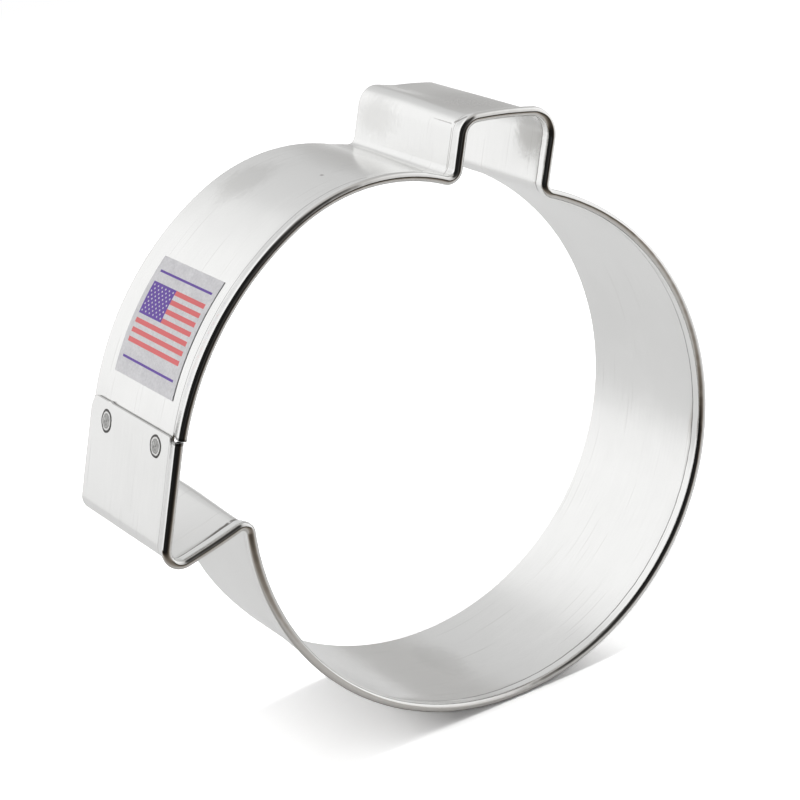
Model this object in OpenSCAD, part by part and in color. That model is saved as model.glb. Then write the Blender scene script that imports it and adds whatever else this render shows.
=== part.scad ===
// Bent-strip cookie cutter, lying on its cutting edge.
// X runs to the right and Y up across the outline, and Z runs from the cutting edge to the rolled edge.
// All sizes are in millimetres. Outline sizes are taken to the middle of the sheet.

/* [Strip] */
// Depth of the cutter, from the cutting edge to the crest of the rolled edge
strip_w = 25.4; // [24:0.1:32]
// Thickness of the tinned steel sheet
sheet_t = 0.3; // [0.2:0.01:0.34]

/* [Rolled edge] */
// Outer radius of the roll, seen in the strip's cross-section
bead_r = 0.62; // [0.5:0.01:0.66]
// How far the middle of the roll sits outside the middle of the sheet
roll_out = 0.06; // [0:0.01:0.1]
// Distance from the crest down to the bend where the wall starts to lean out
bend_drop = 2.7; // [2.2:0.1:3.5]
// Distance from the crest down to the raw edge of the folded leg
leg_drop = 2.5; // [2:0.1:3.2]
// Clear slit between the folded leg and the wall
leg_gap = 0.05; // [0.03:0.01:0.1]

/* [Ring] */
// Radius of the round body
ring_r = 34.55; // [33:0.05:36]
// Distance from the ring's centre to the straight left wall
wall_x = 44.55; // [43:0.05:46]
// Radius of the long curve above the seam
side_r = 39.9; // [38:0.1:42]
// Angle that the long curve turns through
side_turn = 45.3; // [43:0.1:48]
// Angle at which the shoulder dips before the tab
shoulder_dip = 8.5; // [5:0.5:10]
// Height at which the long curve starts, from the ring's centre
side_start_y = 0.2; // [-1:0.1:1]

/* [Tab] */
// Width of the tab across its two walls
tab_w = 13.2; // [12:0.1:14]
// Distance from the ring's centre line to the middle of the tab, to the left
tab_off = 3.45; // [2.5:0.05:4]
// Height of the tab's top above the ring's centre
tab_top = 44.6; // [42:0.1:48]
// Mean slope of the tab's top, rising to the right
tab_slope = 9; // [6:0.5:12]
// Angle through which the tab's top is crowned
tab_crown = 8; // [4:0.5:12]
// Bend radius at the tab's left shoulder
tab_left_r = 2.2; // [1.5:0.1:3]
// Bend radius at the tab's right shoulder
tab_right_r = 3.2; // [2:0.1:4]
// Bend radius where the tab's left wall meets the shoulder
foot_left_r = 1.5; // [1.2:0.1:2]
// Bend radius where the tab's right wall meets the ring
foot_right_r = 1.5; // [1.2:0.1:2]

/* [Corner flap] */
// Angle on the ring, below its left side, at which the flap's floor branches off
flap_angle = 16.3; // [15:0.1:18]
// Mean slope of the flap's floor, rising to the right
flap_slope = 32.5; // [30:0.5:35]
// Angle through which the flap's floor bows outward
flap_bow = 4; // [2:0.5:6]
// Bend radius at the flap's outer corner
flap_corner_r = 1.9; // [1.4:0.1:2.2]
// Bend radius where the flap's floor meets the ring
flap_inner_r = 1.3; // [1.2:0.1:2]

/* [Lap seam] */
// Height of the outer end's cut edge, from the ring's centre
seam_y = 2; // [1:0.1:2.1]
// Length of the inner end that is hidden behind the outer end
lap_len = 6.5; // [5.5:0.1:7.5]
// Clear space between the two lapped layers
lap_gap = 0.04; // [0.03:0.01:0.06]
// Open gap between the two rolled edges at the seam
roll_notch = 0.3; // [0.2:0.05:0.5]
// Length of the slanted cut at the end of the flap's rolled edge
notch_cut = 0.8; // [0.4:0.1:1]
// Rounding of the outer end's corner at the cutting edge
end_corner_r = 1.5; // [0.8:0.1:2]
// How far the inner end stops short of the rolled edge's leg
lap_trim = 0.4; // [0.3:0.1:0.8]

/* [Spot welds] */
// Diameter of each spot weld
weld_d = 2.9; // [2:0.1:3.4]
// Distance from the seam's edge down to the middle of the welds
weld_drop = 2.25; // [2:0.05:2.8]
// Distance from the cutting edge to the rear weld
rear_weld_z = 5.2; // [4:0.1:7]
// Distance from the crest down to the front weld
front_weld_drop = 6; // [5.2:0.1:8.4]
// Depth of the dish that the electrode leaves on each side
weld_dish = 0.06; // [0.03:0.01:0.1]
// Width of the rim that stands round the dish
weld_rim = 0.4; // [0.3:0.05:0.6]

/* [Foil label] */
// Height of the label, measured along the wall
label_h = 15.8; // [14:0.1:18]
// Width of the label across the strip
label_w = 16.5; // [14:0.1:17.5]
// Thickness of the foil
label_t = 0.08; // [0.05:0.01:0.12]
// Distance from the start of the long curve to the label's lower edge, along the wall
label_rise = 5.8; // [4:0.1:8]
// Distance from the cutting edge to the label's edge
label_z = 4.2; // [3:0.1:5]

/* [Output] */
// Which piece to build

/* [Hidden] */
$fn = 96;
steel = [0.78, 0.78, 0.79];
weld_grey = [0.6, 0.6, 0.61];
foil_grey = [0.81, 0.81, 0.83];

// Amount by which a cutting shape runs past the surface it opens
over = 1;

// The rolled edge in the cross-section: x is outward from the sheet's middle, y is the height
roll_c = [roll_out, strip_w - bead_r];
bend_p = [sheet_t / 2, strip_w - bend_drop];
leg_p = [-sheet_t / 2 - leg_gap - sheet_t, strip_w - leg_drop];
// How far the faces of the wall and the leg pass inside the roll's circles, so that they cross them cleanly
roll_bite = 0.01;
// Directions, from the roll's centre, in which the outer faces of the wall and the leg pass by it
wall_in = passing_angle(bend_p, -1);
leg_in = passing_angle(leg_p, 1);
// Inner corners at the wall's bend and at the leg's raw edge
bend_inner_p = [-sheet_t / 2, bend_p[1] - sheet_t * tan(wall_in / 2)];
leg_inner_p = leg_p + [sheet_t, 0];

// The inner lap lies one sheet and one gap inside the outer lap
inner_x = wall_x - sheet_t - lap_gap;

// Where the tab's walls stand
tab_left = -tab_off - tab_w / 2;
tab_right = -tab_off + tab_w / 2;

// Long curve, and the shoulder whose radius brings it to the tab's foot
shoulder_turn = 90 - side_turn + shoulder_dip;
side_dx = side_r * (1 - cos(side_turn));
foot_dx = foot_left_r * (1 + sin(shoulder_dip));
shoulder_dx = tab_left + inner_x - side_dx - foot_dx;
shoulder_r = rounded(shoulder_dx / (cos(side_turn) + sin(shoulder_dip)));
side_dy = side_r * sin(side_turn);
shoulder_dy = shoulder_r * (cos(shoulder_dip) - sin(side_turn));
foot_dy = foot_left_r * cos(shoulder_dip);
tab_foot_y = side_start_y + side_dy + shoulder_dy + foot_dy;

// The tab's top, worked out so that it spans the tab and its highest point is tab_top
top_start = tab_slope + tab_crown / 2;
top_end = tab_slope - tab_crown / 2;
tab_corners_dx = tab_left_r * (1 - sin(top_start)) + tab_right_r * (1 + sin(top_end));
tab_top_r = rounded((tab_w - tab_corners_dx) / (sin(top_start) - sin(top_end)));
tab_right_cy = tab_top - tab_right_r;
tab_top_dy = tab_top_r * (cos(top_end) - cos(top_start));
tab_corners_dy = tab_left_r * cos(top_start) - tab_right_r * cos(top_end);
tab_wall_top_y = tab_right_cy - tab_top_dy - tab_corners_dy;
tab_wall_len = rounded(tab_wall_top_y - tab_foot_y);

// The right foot's bend touches the ring, so its centre is one bend radius outside the ring
foot_cx = tab_right + foot_right_r;
foot_cy = sqrt(pow(ring_r + foot_right_r, 2) - pow(foot_cx, 2));
foot_angle = rounded(atan2(foot_cy, foot_cx));
tab_right_len = rounded(tab_right_cy - foot_cy);

// The flap's inner bend touches the ring, and its floor spans from there to the corner
ring_turn = foot_angle + 180 - flap_angle;
floor_start = flap_slope + flap_bow / 2;
floor_end = flap_slope - flap_bow / 2;
inner_turn = 90 + floor_start - flap_angle;
inner_cx = -(ring_r + flap_inner_r) * cos(flap_angle);
inner_dx = flap_inner_r * sin(floor_start);
corner_dx = flap_corner_r * (1 + sin(floor_end));
floor_dx = wall_x + inner_cx - inner_dx - corner_dx;
floor_r = rounded(floor_dx / (sin(floor_start) - sin(floor_end)));
inner_cy = -(ring_r + flap_inner_r) * sin(flap_angle);
floor_dy = floor_r * (cos(floor_end) - cos(floor_start));
corner_cy = inner_cy + flap_inner_r * cos(floor_start) - floor_dy + flap_corner_r * cos(floor_end);
flap_wall_len = rounded(seam_y - corner_cy);

// Middle of the whole outline, which is moved to the origin
mid_x = (ring_r - wall_x) / 2;
mid_y = (tab_top - ring_r) / 2;

// The rolled strip starts a little way up the long curve, just above the seam
roll_start_y = seam_y + roll_notch;
seam_turn = rounded(asin((roll_start_y - side_start_y) / side_r));
side_c = [side_r - inner_x, side_start_y];

// The inner end behind the flap is flat sheet, without the roll.
// It follows the long curve up to the rolled strip
lap_h = strip_w - leg_drop - lap_trim;
lap_pose = [-inner_x, seam_y - lap_len, 90];
lap_path = [
    [0, side_start_y - seam_y + lap_len],
    [side_r, seam_turn]
];

// The strip's path, clockwise from the seam. Each row is [radius, turn to the right],
// and a row with radius 0 is a straight of the given length
start_pose = pose(lap_pose, lap_path, len(lap_path));
path = [
    [side_r, side_turn - seam_turn],
    [shoulder_r, shoulder_turn],
    [foot_left_r, -90 - shoulder_dip],
    [0, tab_wall_len],
    [tab_left_r, 90 - top_start],
    [tab_top_r, tab_crown],
    [tab_right_r, 90 + top_end],
    [0, tab_right_len],
    [foot_right_r, -foot_angle],
    [ring_r, ring_turn],
    [flap_inner_r, -inner_turn],
    [floor_r, flap_bow],
    [flap_corner_r, 90 + floor_end]
];

// The flap's wall carries on from the path and ends at the seam
wall_pose = pose(start_pose, path, len(path));
wall_path = [[0, flap_wall_len]];
end_y = wall_pose[1] + flap_wall_len;

// Middle of the two layers at the welds, and how much metal the welds go through
weld_x = -wall_x + (sheet_t + lap_gap) / 2;
weld_len = 2 * sheet_t + lap_gap;
weld_y = seam_y - weld_drop;

// Direction, from the roll's centre, in which a line from p passes by it
function passing_angle(p, side) =
    let (v = p - roll_c)
    atan2(v[1], v[0]) - side * acos((bead_r - roll_bite) / norm(v));

// A derived size or angle, kept to three decimals
function rounded(v) = round(v * 1000) / 1000;

// Next pose [x, y, heading] after one row of the path
function advance(p, s) =
    s[0] == 0
    ? [p[0] + s[1] * cos(p[2]), p[1] + s[1] * sin(p[2]), p[2]]
    : let (
        side = sign(s[1]),
        c = bend_centre(p, s),
        h = p[2] - s[1]
    )
    [c[0] + s[0] * cos(h + 90 * side), c[1] + s[0] * sin(h + 90 * side), h];

// Centre of a bend that starts at pose p
function bend_centre(p, s) =
    let (side = sign(s[1]))
    [p[0] + s[0] * cos(p[2] - 90 * side), p[1] + s[0] * sin(p[2] - 90 * side)];

// Pose at the start of row i of a path that begins at pose p
function pose(p, rows, i) = i == 0 ? p : advance(pose(p, rows, i - 1), rows[i - 1]);

// Point at a distance and an angle from a centre
function polar(c, r, angle) = c + r * [cos(angle), sin(angle)];

// Cross-section of flat sheet, h high, standing on the cutting edge
module flat_section(h) {
    translate([-sheet_t / 2, 0])
        square([sheet_t, h]);
}

// Cross-section of the strip: upright wall, lean outward, roll over the crest and folded leg
module rolled_section() {
    difference() {
        union() {
            translate(roll_c)
                circle(bead_r);
            polygon([
                [-sheet_t / 2, 0],
                [sheet_t / 2, 0],
                bend_p,
                polar(roll_c, bead_r - roll_bite, wall_in),
                roll_c,
                bend_inner_p
            ]);
            polygon([
                leg_p,
                polar(roll_c, bead_r - roll_bite, leg_in),
                roll_c,
                leg_inner_p
            ]);
        }
        // Hollow inside the roll and slit between the wall and the leg
        translate(roll_c)
            circle(bead_r - sheet_t);
        polygon([
            bend_inner_p,
            polar(roll_c, bead_r - sheet_t - roll_bite, wall_in),
            roll_c,
            polar(roll_c, bead_r - sheet_t - roll_bite, leg_in),
            leg_inner_p
        ]);
    }
}

// Moves the children to p in two steps, a rounded one and the small rest, which keeps the place exact
module place(p) {
    near = [rounded(p[0]), rounded(p[1]), 0];
    translate(near)
        translate([p[0] - near[0], p[1] - near[1], 0])
            children();
}

// Runs the child cross-section along the rows of a path that begins at pose p
module run(p, rows) {
    for (i = [0 : len(rows) - 1]) {
        here = pose(p, rows, i);
        row = rows[i];
        if (row[0] == 0) {
            place(here)
                rotate([90, 0, here[2] + 90])
                    linear_extrude(row[1])
                        children();
        } else {
            bend(here, row)
                children();
        }
    }
}

// One bend of the child cross-section. A turn to the left puts the outside of the strip inside the bend
module bend(here, row) {
    right = row[1] > 0;
    place(bend_centre(here, row))
        rotate_extrude(angle = abs(row[1]), start = here[2] + (right ? 90 - row[1] : 270))
            translate([row[0], 0])
                mirror([right ? 0 : 1, 0])
                    children();
}

// Rod through both layers of the lap at one weld
module through_lap(z, r, length) {
    translate([weld_x - length / 2, weld_y, z])
        rotate([0, 90, 0])
            cylinder(h = length, r = r);
}

// Shape that rounds the outer end's corner at the cutting edge
module end_corner_cut() {
    translate([-wall_x - over, end_y - end_corner_r, -over])
        difference() {
            cube([2 * over, end_corner_r + over, end_corner_r + over]);
            translate([-over, 0, end_corner_r + over])
                rotate([0, 90, 0])
                    cylinder(h = 4 * over, r = end_corner_r);
        }
}

// Wedge that slants the end of the flap's rolled edge
module roll_end_cut() {
    translate([-wall_x + 2 * over, end_y, 0])
        rotate([90, 0, -90])
            linear_extrude(4 * over)
                polygon([
                    [0, strip_w - bend_drop],
                    [notch_cut, strip_w],
                    [notch_cut, strip_w + over],
                    [-roll_notch / 2, strip_w + over],
                    [-roll_notch / 2, strip_w - bend_drop]
                ]);
}

// The one bent strip, with both ends lapped on the left wall
module strip_band() {
    color(steel)
        translate([-mid_x, -mid_y, 0]) {
            run(start_pose, path)
                rolled_section();
            difference() {
                run(wall_pose, wall_path)
                    rolled_section();
                end_corner_cut();
                roll_end_cut();
                weld_holes();
            }
            difference() {
                run(lap_pose, lap_path)
                    flat_section(lap_h);
                weld_holes();
            }
        }
}

// Holes that the two welds fill
module weld_holes() {
    through_lap(rear_weld_z, weld_d / 2, weld_len + over);
    through_lap(strip_w - front_weld_drop, weld_d / 2, weld_len + over);
}

// One weld: a plug through both layers with a shallow dish on each side
module weld(z) {
    color(weld_grey)
        translate([-mid_x, -mid_y, 0])
            difference() {
                through_lap(z, weld_d / 2, weld_len);
                for (side = [-1, 1])
                    translate([side * weld_len / 2, 0, 0])
                        through_lap(z, weld_d / 2 - weld_rim, 2 * weld_dish);
            }
}

module front_weld() {
    weld(strip_w - front_weld_drop);
}

module rear_weld() {
    weld(rear_weld_z);
}

// Foil label, wrapped on the outer face along the long curve
module foil_label() {
    inner_r = side_r + sheet_t / 2;
    from_angle = label_rise / side_r * 180 / PI;
    span = label_h / side_r * 180 / PI;
    color(foil_grey)
        translate([side_c[0] - mid_x, side_c[1] - mid_y, 0])
            rotate([0, 0, 180 - from_angle - span])
                rotate_extrude(angle = span)
                    translate([inner_r, label_z])
                        square([label_t, label_w]);
}

strip_band();
front_weld();
rear_weld();
foil_label();
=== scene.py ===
import math

import bpy
import numpy as np
from mathutils import Matrix, Vector


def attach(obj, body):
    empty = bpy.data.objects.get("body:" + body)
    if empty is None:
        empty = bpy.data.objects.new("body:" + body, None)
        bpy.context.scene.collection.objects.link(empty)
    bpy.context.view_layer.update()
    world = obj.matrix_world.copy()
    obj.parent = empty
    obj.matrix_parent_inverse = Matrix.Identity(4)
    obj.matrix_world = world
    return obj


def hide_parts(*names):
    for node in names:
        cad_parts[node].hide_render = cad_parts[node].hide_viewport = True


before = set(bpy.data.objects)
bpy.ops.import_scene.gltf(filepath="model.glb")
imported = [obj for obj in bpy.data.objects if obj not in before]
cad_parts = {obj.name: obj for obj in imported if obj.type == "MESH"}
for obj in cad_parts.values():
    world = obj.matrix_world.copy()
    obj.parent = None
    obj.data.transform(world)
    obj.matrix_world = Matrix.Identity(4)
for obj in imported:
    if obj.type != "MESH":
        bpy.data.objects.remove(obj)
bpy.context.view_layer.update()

# The cutter lies on its cutting edge: X to the right, Y up along the tab, Z towards the rolled edge.
# Outline sizes are in millimetres from the ring's centre, as in the part's source. MM turns them
# into metres. The frame's zero is the middle of the outline, MID_X and MID_Y from the ring's centre.
MM = 0.001
MID_X = -5.0
MID_Y = 5.025

# Cross-section: the strip's depth and thickness, the rolled edge's radius and how far it stands out,
# where the wall leans out and the folded leg ends, both below the top, and the slit beside the leg
STRIP_W = 25.4
SHEET_T = 0.3
ROLL_R = 0.62
ROLL_OUT = 0.06
BEND_DROP = 2.7
BEND_EASE = 0.7
LEG_DROP = 2.0
LEG_GAP = 0.05
BEND_Z = STRIP_W - BEND_DROP

# Outline along the middle of the sheet. Names in _R are radii. Turns, slopes, the dip, the crown,
# the bow and FLAP_ANGLE are degrees.
RING_R = 34.55
WALL_X = 44.55
SIDE_R = 39.9
SIDE_TURN = 45.3
SHOULDER_DIP = 8.5
SIDE_START_Y = 0.2
TAB_W = 13.2
TAB_OFF = 3.45
TAB_TOP = 44.6
TAB_SLOPE = 9.0
TAB_CROWN = 8.0
TAB_LEFT_R = 2.2
TAB_RIGHT_R = 3.2
FOOT_LEFT_R = 1.5
FOOT_RIGHT_R = 1.5
FLAP_ANGLE = 16.3
FLAP_SLOPE = 32.5
FLAP_BOW = 4.0
FLAP_CORNER_R = 1.9
FLAP_INNER_R = 1.3

# Lap seam: where it lies, how far the inner end runs behind it, and the gaps and cuts of the ends
SEAM_Y = 2.0
LAP_LEN = 6.5
LAP_GAP = 0.04
LAP_TRIM = 0.9
ROLL_NOTCH = 0.3
END_CORNER_R = 1.5

# Each weld's height, its drop below the seam, and the seed of its mottling
WELDS = {"front": (19.0, 2.08, 5), "rear": (4.8, 2.55, 9)}

# Label: its length along the strip, its width across it, its thickness, and where it starts
LABEL_LEN = 15.8
LABEL_W = 16.5
LABEL_T = 0.08
LABEL_FROM = 5.8
LABEL_Z = 4.2

scene = bpy.context.scene


def cosd(a):
    return math.cos(math.radians(a))


def sind(a):
    return math.sin(math.radians(a))


# Outline, worked out from the sizes so that each stretch runs smoothly into the next
INNER_X = WALL_X - SHEET_T - LAP_GAP
TAB_LEFT = -TAB_OFF - TAB_W / 2
TAB_RIGHT = -TAB_OFF + TAB_W / 2
shoulder_turn = 90 - SIDE_TURN + SHOULDER_DIP
side_dx = SIDE_R * (1 - cosd(SIDE_TURN))
foot_dx = FOOT_LEFT_R * (1 + sind(SHOULDER_DIP))
shoulder_r = (TAB_LEFT + INNER_X - side_dx - foot_dx) / (cosd(SIDE_TURN) + sind(SHOULDER_DIP))
shoulder_dy = shoulder_r * (cosd(SHOULDER_DIP) - sind(SIDE_TURN))
tab_foot_y = SIDE_START_Y + SIDE_R * sind(SIDE_TURN) + shoulder_dy + FOOT_LEFT_R * cosd(SHOULDER_DIP)
top_start = TAB_SLOPE + TAB_CROWN / 2
top_end = TAB_SLOPE - TAB_CROWN / 2
corners_dx = TAB_LEFT_R * (1 - sind(top_start)) + TAB_RIGHT_R * (1 + sind(top_end))
tab_top_r = (TAB_W - corners_dx) / (sind(top_start) - sind(top_end))
tab_right_cy = TAB_TOP - TAB_RIGHT_R
tab_wall_top_y = (
    tab_right_cy
    - tab_top_r * (cosd(top_end) - cosd(top_start))
    - (TAB_LEFT_R * cosd(top_start) - TAB_RIGHT_R * cosd(top_end))
)
tab_wall_len = tab_wall_top_y - tab_foot_y
foot_cx = TAB_RIGHT + FOOT_RIGHT_R
foot_cy = math.sqrt((RING_R + FOOT_RIGHT_R) ** 2 - foot_cx**2)
foot_angle = math.degrees(math.atan2(foot_cy, foot_cx))
tab_right_len = tab_right_cy - foot_cy
floor_start = FLAP_SLOPE + FLAP_BOW / 2
floor_end = FLAP_SLOPE - FLAP_BOW / 2
inner_turn = 90 + floor_start - FLAP_ANGLE
inner_cx = -(RING_R + FLAP_INNER_R) * cosd(FLAP_ANGLE)
inner_cy = -(RING_R + FLAP_INNER_R) * sind(FLAP_ANGLE)
floor_dx = WALL_X + inner_cx - FLAP_INNER_R * sind(floor_start) - FLAP_CORNER_R * (1 + sind(floor_end))
floor_r = floor_dx / (sind(floor_start) - sind(floor_end))
corner_cy = (
    inner_cy
    + FLAP_INNER_R * cosd(floor_start)
    - floor_r * (cosd(floor_end) - cosd(floor_start))
    + FLAP_CORNER_R * cosd(floor_end)
)
flap_wall_len = SEAM_Y - corner_cy
seam_turn = math.degrees(math.asin((SEAM_Y + ROLL_NOTCH - SIDE_START_Y) / SIDE_R))

# Each row is a radius and a turn in degrees, to the right if it is above zero, or 0 and a length
lap_rows = [(0, SIDE_START_Y - SEAM_Y + LAP_LEN), (SIDE_R, seam_turn)]
path_rows = [
    (SIDE_R, SIDE_TURN - seam_turn),
    (shoulder_r, shoulder_turn),
    (FOOT_LEFT_R, -90 - SHOULDER_DIP),
    (0, tab_wall_len),
    (TAB_LEFT_R, 90 - top_start),
    (tab_top_r, TAB_CROWN),
    (TAB_RIGHT_R, 90 + top_end),
    (0, tab_right_len),
    (FOOT_RIGHT_R, -foot_angle),
    (RING_R, foot_angle + 180 - FLAP_ANGLE),
    (FLAP_INNER_R, -inner_turn),
    (floor_r, FLAP_BOW),
    (FLAP_CORNER_R, 90 + floor_end),
    (0, flap_wall_len),
]
TAB_LEFT_WALL_ROW = 3
FLAP_INNER_ROW = 10

# The widest steps between stations: on straights and arcs in millimetres, and in degrees of turn
STRAIGHT_STEP = 0.8
ARC_STEP = 0.45
TURN_STEP = 4.0


def row_length(row):
    r, turn = row
    return turn if r == 0 else math.radians(abs(turn)) * r


def walk(start, rows):
    """Stations [x, y, outward x, outward y, distance, row, share of row] along the rows, and the end."""
    x, y, heading = start
    dist = 0.0
    out = []
    for i, (r, turn) in enumerate(rows):
        length = row_length((r, turn))
        if r == 0:
            n = max(2, math.ceil(length / STRAIGHT_STEP))
            for k in range(n + 1):
                f = k / n
                place = [x + length * f * cosd(heading), y + length * f * sind(heading)]
                out.append(place + [cosd(heading + 90), sind(heading + 90), dist + length * f, i, f])
            x, y = x + length * cosd(heading), y + length * sind(heading)
        else:
            side = 1 if turn > 0 else -1
            cx, cy = x + r * cosd(heading - 90 * side), y + r * sind(heading - 90 * side)
            n = max(2, math.ceil(length / ARC_STEP), math.ceil(abs(turn) / TURN_STEP))
            for k in range(n + 1):
                f = k / n
                a = heading - turn * f
                place = [cx + r * cosd(a + 90 * side), cy + r * sind(a + 90 * side)]
                out.append(place + [cosd(a + 90), sind(a + 90), dist + length * f, i, f])
            heading -= turn
            x, y = cx + r * cosd(heading + 90 * side), cy + r * sind(heading + 90 * side)
        dist += length
    return np.array(out), (x, y, heading)


lap_stations, start_pose = walk((-INNER_X, SEAM_Y - LAP_LEN, 90.0), lap_rows)
band_stations, _ = walk(start_pose, path_rows)
# Each row ends where the next begins, so the doubled stations go
keep = np.ones(len(band_stations), bool)
keep[1:] = np.abs(np.diff(band_stations[:, 4])) > 1e-9
band_stations = band_stations[keep]


# Cross-section
def with_normals(points):
    """Rows [outward, height, normal outward, normal up, distance] for a line through the points."""
    pts = np.array(points)
    tan = np.gradient(pts, axis=0)
    tan /= np.linalg.norm(tan, axis=1)[:, None]
    nor = np.stack([tan[:, 1], -tan[:, 0]], axis=1)
    run = np.concatenate([[0], np.cumsum(np.linalg.norm(np.diff(pts, axis=0), axis=1))])
    return np.column_stack([pts, nor, run])


def upright(top, count):
    """Points up a plain wall."""
    return [(0.0, z) for z in np.linspace(0, top, count)]


def touch_angle(point, centre, radius, side):
    """The angle at which a line from the point touches a circle, on the given side."""
    v = point - centre
    half = math.degrees(math.acos(radius / np.linalg.norm(v)))
    return math.degrees(math.atan2(v[1], v[0])) + side * half


def rolled_section():
    """Middle line of the sheet: up the wall, out along the band, round the roll and down the leg."""
    centre = np.array([ROLL_OUT, STRIP_W - ROLL_R])
    radius = ROLL_R - SHEET_T / 2
    bend = np.array([0.0, BEND_Z])
    wall_a = touch_angle(bend, centre, radius, 1)
    wall_end = centre + radius * np.array([cosd(wall_a), sind(wall_a)])
    lean = (wall_end - bend) / np.linalg.norm(wall_end - bend)
    leg_out = lean[0] / lean[1] * (BEND_DROP - LEG_DROP)
    leg_end = np.array([leg_out - SHEET_T - LEG_GAP, STRIP_W - LEG_DROP])
    leg_a = touch_angle(leg_end, centre, radius, -1) + 360
    leg_start = centre + radius * np.array([cosd(leg_a), sind(leg_a)])
    low = bend - np.array([0, BEND_EASE])
    high = bend + lean * BEND_EASE
    pts = upright(low[1], 34)
    for f in np.linspace(0, 1, 8)[1:]:
        pts.append(tuple((1 - f) ** 2 * low + 2 * f * (1 - f) * bend + f**2 * high))
    for f in np.linspace(0, 1, 5)[1:-1]:
        pts.append(tuple(high + (wall_end - high) * f))
    for a in np.linspace(wall_a, leg_a, 30):
        pts.append((centre[0] + radius * cosd(a), centre[1] + radius * sind(a)))
    for f in np.linspace(0, 1, 7)[1:]:
        pts.append(tuple(leg_start + (leg_end - leg_start) * f))
    return with_normals(pts)


# Hand-bent unevenness. Each wave is its rates along the strip and up it, and its phase.
SHEET_WAVES = [
    (0.31, 0.11, 0.4),
    (0.47, -0.23, 2.1),
    (0.19, 0.33, 4.4),
    (0.73, 0.09, 1.3),
    (0.11, -0.4, 5.2),
]
EDGE_WAVES = [(0.9, 0.0, 0.2), (1.7, 0.0, 1.9), (2.9, 0.0, 3.7), (4.3, 0.0, 5.0)]
CREASE_WAVES = [(5.1, 0.4, 0.7), (7.7, -0.6, 2.9), (3.3, 0.9, 4.1)]
# How high the waves are on the sheet, at the tight bends, on the roll and at the leg's edge, and how
# far that edge tucks in, growing over the tail of the leg
SHEET_WAVE = 0.022
CREASE_WAVE = 0.011
ROLL_WAVE = 0.012
LEG_WAVE = 0.05
LEG_TUCK = 0.04
LEG_TAIL = 1.2
# Above this height the sheet is part of the hem
HEM_Z = STRIP_W - 3.4
# Bends of a smaller radius than this are tight, and creases fade out this far beyond them
TIGHT_R = 4
CREASE_FADE = 2.6


def wave(a, b, waves):
    """Smooth repeatable unevenness, about -1 to 1."""
    v = 0.0
    for rate_a, rate_b, phase in waves:
        v = v + math.sin(rate_a * a + rate_b * b + phase)
    return v / len(waves)


def smooth(v):
    v = min(1.0, max(0.0, v))
    return v * v * (3 - 2 * v)


def rise(z, start, span):
    """0 up to the start and 1 from a span above it, smoothly."""
    return smooth((z - start) / span)


def row_middle(row):
    """Distance along the strip at the middle of a row."""
    done = [row_length(r) for r in path_rows[: row + 1]]
    return sum(done) - done[-1] / 2


# The strip's tight bends: distance along the strip at the middle, and half-length
TIGHT = [
    (row_middle(i), row_length(row) / 2) for i, row in enumerate(path_rows) if 0 < row[0] < TIGHT_R
]

# Where the sheet was bent a little off the rolled edge's line: middle and half-length along,
# height up to which it strays, and amount outward
STRAYS = [
    (row_middle(TAB_LEFT_WALL_ROW) + 0.5, 8.0, 21.0, 0.6),
    (row_middle(FLAP_INNER_ROW) - 14.0, 24.0, 23.0, -0.62),
]


def unevenness(s, z):
    """How far the hand-bent sheet stands off its true line, outward, at a distance along and a height."""
    # The waves are weaker near the cutting edge and in the hem
    off = SHEET_WAVE * wave(s, z, SHEET_WAVES) * (0.4 + 0.6 * min(1.0, z / 3.0))
    for middle, half, top, amount in STRAYS:
        off += amount * smooth(1.6 * (1 - abs(s - middle) / half)) * smooth(1.4 * (1 - z / top))
    if z > HEM_Z:
        off *= 0.5
    # Creases lie in the band under the roll, at the tight bends
    near = max(smooth(1 - (abs(s - middle) - half) / CREASE_FADE) for middle, half in TIGHT)
    band = rise(z, STRIP_W - 4.6, 1.6) * smooth((STRIP_W - 0.5 - z) / 1.4)
    return off + CREASE_WAVE * near * band * wave(s, z, CREASE_WAVES)


def hand_bent(s, z, run, edge_run):
    """How far the sheet strays outward and upward, at a place along and a distance on the section."""
    out, up = unevenness(s, z), 0.0
    if z > HEM_Z:
        up -= ROLL_WAVE * (1 + wave(s, 0, EDGE_WAVES)) * min(1.0, (z - HEM_Z) / 2)
    if run > edge_run - LEG_TAIL:
        tail = (run - edge_run + LEG_TAIL) / LEG_TAIL
        up += LEG_WAVE * wave(s * 0.7, 0, EDGE_WAVES) * tail
        out -= LEG_TUCK * tail * tail
    return out, up


# The run map holds millimetres: along the strip, and on round the cross-section. The sheet's inner
# face starts at INNER_FACE_RUN there, so that FACE_SPLIT parts it from the outer one, and cut faces
# all lie at CUT_MARK.
INNER_FACE_RUN = 60.0
FACE_SPLIT = 40.0
CUT_MARK = -5.0
# The length over which the start of the band is drawn out to its own cut line
LEAD_IN = 2.0


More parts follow.
